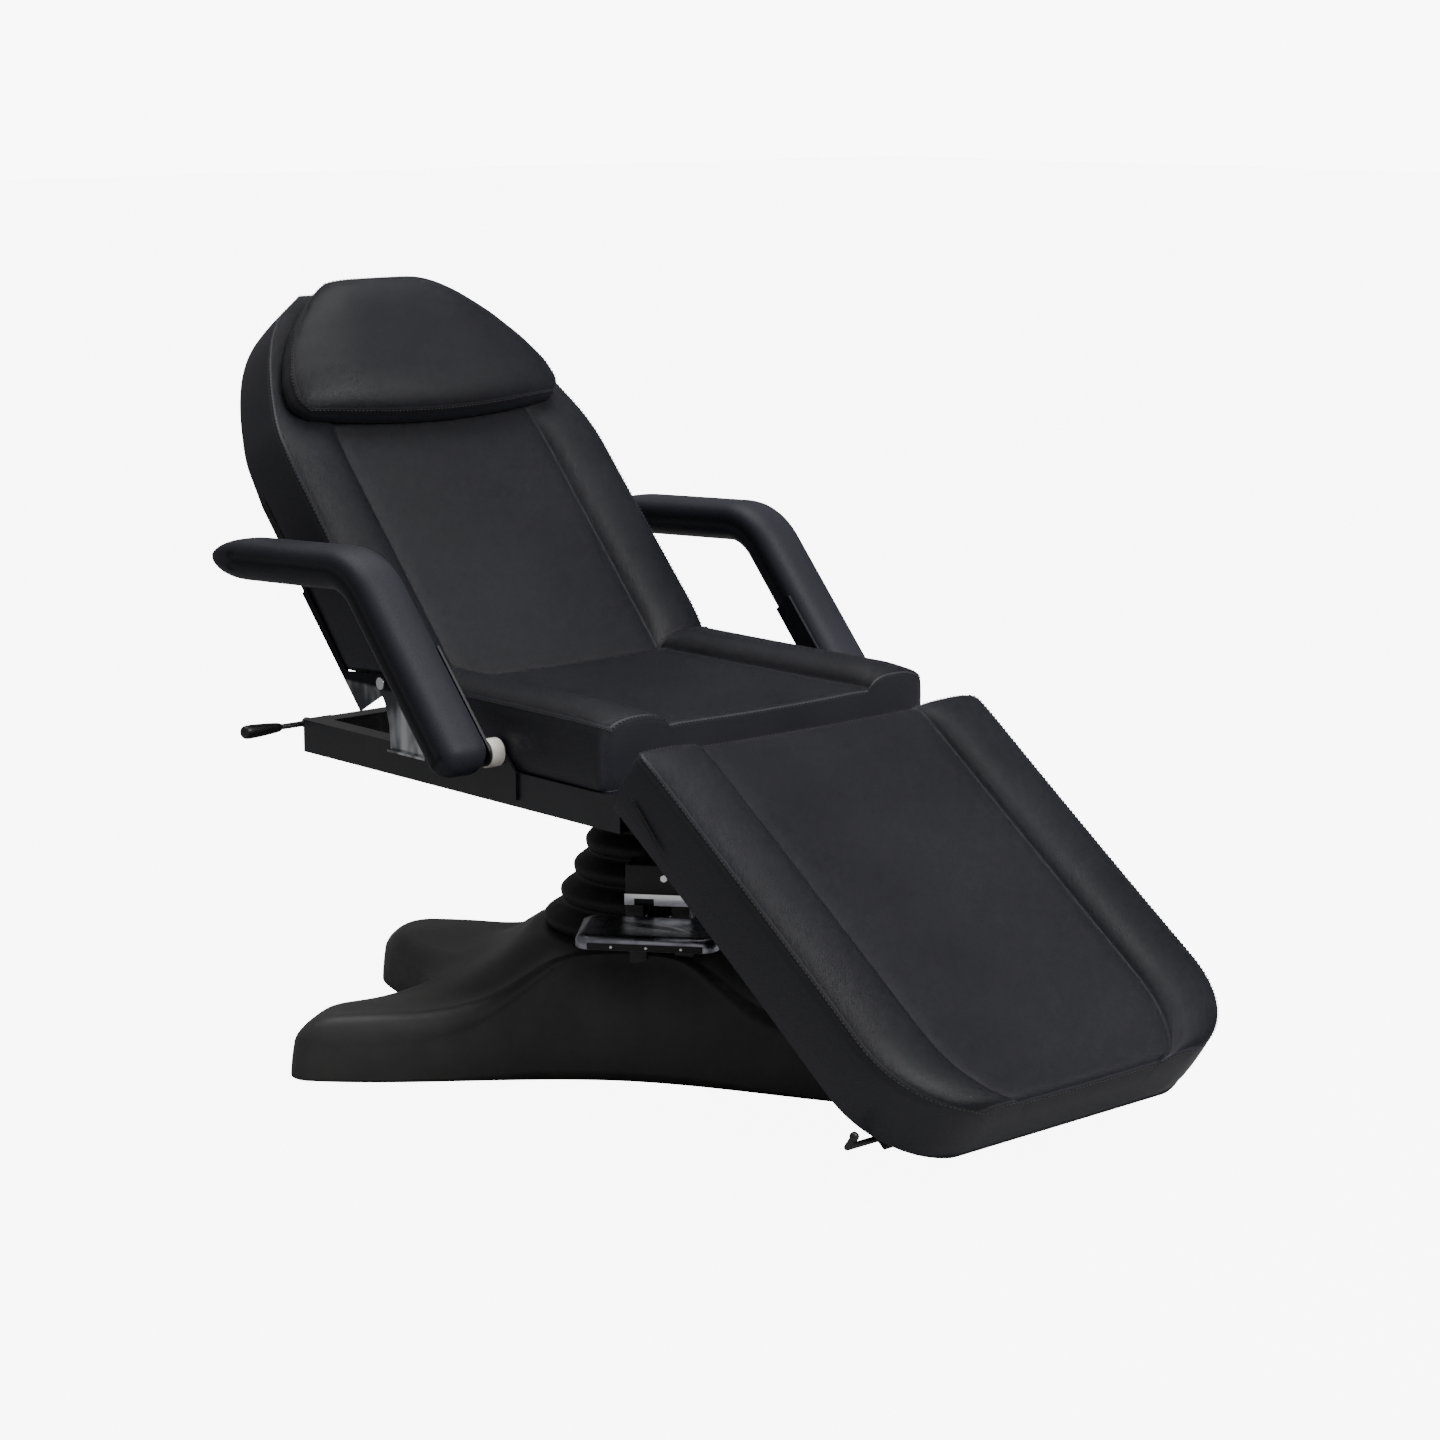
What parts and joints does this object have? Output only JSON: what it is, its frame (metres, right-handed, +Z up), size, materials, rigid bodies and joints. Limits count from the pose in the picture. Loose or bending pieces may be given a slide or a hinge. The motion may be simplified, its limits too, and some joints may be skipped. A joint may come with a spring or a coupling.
{
  "type": "massage table",
  "caption": "Padded treatment table in three sections with bent armrests and a head pillow, on a pedal-pumped hydraulic column with a moulded base.",
  "frame": {"origin": "on the floor, under the centre of the bounding box of the table as shown", "axes": "+Z up, +Y along the table towards the head end, +X across it"},
  "size_m": [0.9858, 1.5279, 1.0153],
  "materials": {
    "upholstery": "satin",
    "moulded_cover": "matte",
    "black_rubber": "matte",
    "black_steel": "satin",
    "chromed_steel": "polished",
    "plain_steel": "satin",
    "nylon": "matte",
    "board": "matte",
    "black_plastic": "satin"
  },
  "bodies": {
    "base": {"base_cover": "moulded_cover", "base_frame": "black_steel", "levelling_feet": "black_rubber", "cylinder_tube": "black_steel", "cylinder_gland": "plain_steel", "column_bolts": "plain_steel", "bellows": "black_rubber", "pump_housing": "black_steel", "pump_bolts": "plain_steel", "pedal_bracket": "chromed_steel", "pedal_pin": "plain_steel"},
    "pedal": {"pedal_arm": "black_steel", "pedal_plate": "chromed_steel", "pedal_rim": "black_rubber", "pedal_rivets": "chromed_steel"},
    "plunger": {"pump_plunger": "chromed_steel"},
    "ram": {"ram": "chromed_steel", "thrust_washer": "nylon", "swivel_nut": "plain_steel"},
    "frame": {"swivel_plate": "black_steel", "swivel_beams": "black_steel", "left_rail": "black_steel", "right_rail": "black_steel", "rear_cross_tube": "black_steel", "front_cross_tube": "black_steel", "strut_cross_tube": "black_steel", "back_strut_bracket": "black_steel", "leg_strut_bracket": "black_steel", "leg_hinge_shaft": "plain_steel", "left_hinge_bracket": "chromed_steel", "right_hinge_bracket": "chromed_steel", "hinge_bolts": "chromed_steel", "left_arm_bracket": "black_steel", "right_arm_bracket": "black_steel", "arm_pivot_discs": "chromed_steel", "seat_board": "board", "seat_cushion": "upholstery", "recline_pivot": "black_steel"},
    "backrest": {"back_board": "board", "back_cushion": "upholstery", "left_hinge_plate": "chromed_steel", "right_hinge_plate": "chromed_steel", "back_clevis": "black_steel", "head_pillow": "upholstery"},
    "leg_rest": {"leg_board": "board", "leg_cushion": "upholstery", "left_leg_arm": "black_steel", "right_leg_arm": "black_steel", "leg_clevis": "black_steel"},
    "leg_handle": {"leg_release": "black_steel"},
    "left_arm": {"left_arm_plate": "black_steel", "left_arm_pad": "upholstery"},
    "right_arm": {"right_arm_plate": "black_steel", "right_arm_pad": "upholstery"},
    "recline_lever": {"recline_rod": "chromed_steel", "recline_grip": "black_plastic"},
    "back_strut_low": {"back_strut_cylinder": "black_steel"},
    "back_strut_high": {"back_strut_rod": "chromed_steel"},
    "leg_strut_high": {"leg_strut_cylinder": "black_steel"},
    "leg_strut_low": {"leg_strut_rod": "chromed_steel"}
  },
  "joints": [
    {"name": "lift", "type": "slide", "parent": "base", "child": "ram", "axis": [0, 0, 1], "range_m": [0, 0.17], "deforming": ["bellows"]},
    {"name": "swivel", "type": "hinge", "parent": "ram", "child": "frame", "pos_m": [0, 0.05915, 0.352], "axis": [0, 0, 1], "continuous": true},
    {"name": "backrest_recline", "type": "hinge", "parent": "frame", "child": "backrest", "pos_m": [0, 0.27315, 0.506], "axis": [1, 0, 0], "range_deg": [-48.1, 27]},
    {"name": "leg_rest_lift", "type": "hinge", "parent": "frame", "child": "leg_rest", "pos_m": [0, -0.20985, 0.4127], "axis": [-1, 0, 0], "range_deg": [-4, 36.1]},
    {"name": "left_arm_raise", "type": "hinge", "parent": "frame", "child": "left_arm", "pos_m": [-0.3, 0.02315, 0.45], "axis": [1, 0, 0], "range_deg": [0, 70]},
    {"name": "right_arm_raise", "type": "hinge", "parent": "frame", "child": "right_arm", "pos_m": [0.3, 0.02315, 0.45], "axis": [1, 0, 0], "range_deg": [0, 70]},
    {"name": "pedal_press", "type": "hinge", "parent": "base", "child": "pedal", "pos_m": [-0.1132, -0.09243, 0.219], "axis": [0.6401, -0.7683, 0], "range_deg": [0, 15], "stiffness_Nm_per_rad": 8, "springref_deg": -20.05},
    {"name": "plunger_rise", "type": "slide", "parent": "base", "child": "plunger", "axis": [0, 0, 1], "range_m": [0, 0.009]},
    {"name": "recline_lever_pull", "type": "hinge", "parent": "frame", "child": "recline_lever", "pos_m": [-0.273, 0.48115, 0.418], "axis": [0, 1, 0], "range_deg": [0, 12], "stiffness_Nm_per_rad": 0.6, "springref_deg": -14.32},
    {"name": "leg_handle_turn", "type": "hinge", "parent": "leg_rest", "child": "leg_handle", "pos_m": [0, -0.66151, 0.08334], "axis": [1, 0, 0], "range_deg": [0, 25], "stiffness_Nm_per_rad": 0.15, "springref_deg": -17.19},
    {"name": "back_strut_foot", "type": "hinge", "parent": "frame", "child": "back_strut_low", "pos_m": [0, 0.23415, 0.351], "axis": [1, 0, 0], "range_deg": [-25.6, 14.6]},
    {"name": "back_strut_head", "type": "hinge", "parent": "backrest", "child": "back_strut_high", "pos_m": [0, 0.43927, 0.53631], "axis": [1, 0, 0], "range_deg": [-13.3, 23.3]},
    {"name": "leg_strut_foot", "type": "hinge", "parent": "frame", "child": "leg_strut_high", "pos_m": [0, -0.06085, 0.341], "axis": [-1, 0, 0], "range_deg": [-3, 22]},
    {"name": "leg_strut_head", "type": "hinge", "parent": "leg_rest", "child": "leg_strut_low", "pos_m": [0, -0.38495, 0.27264], "axis": [-1, 0, 0], "range_deg": [-15.5, 2.5]}
  ],
  "couplings": [
    {"joint": "plunger_rise", "follows": "pedal_press", "m_per_rad": 0.032},
    {"joint": "back_strut_foot", "follows": "backrest_recline", "ratio": 0.524},
    {"joint": "back_strut_head", "follows": "backrest_recline", "ratio": -0.476},
    {"joint": "leg_strut_foot", "follows": "leg_rest_lift", "ratio": 0.592},
    {"joint": "leg_strut_head", "follows": "leg_rest_lift", "ratio": -0.408}
  ]
}
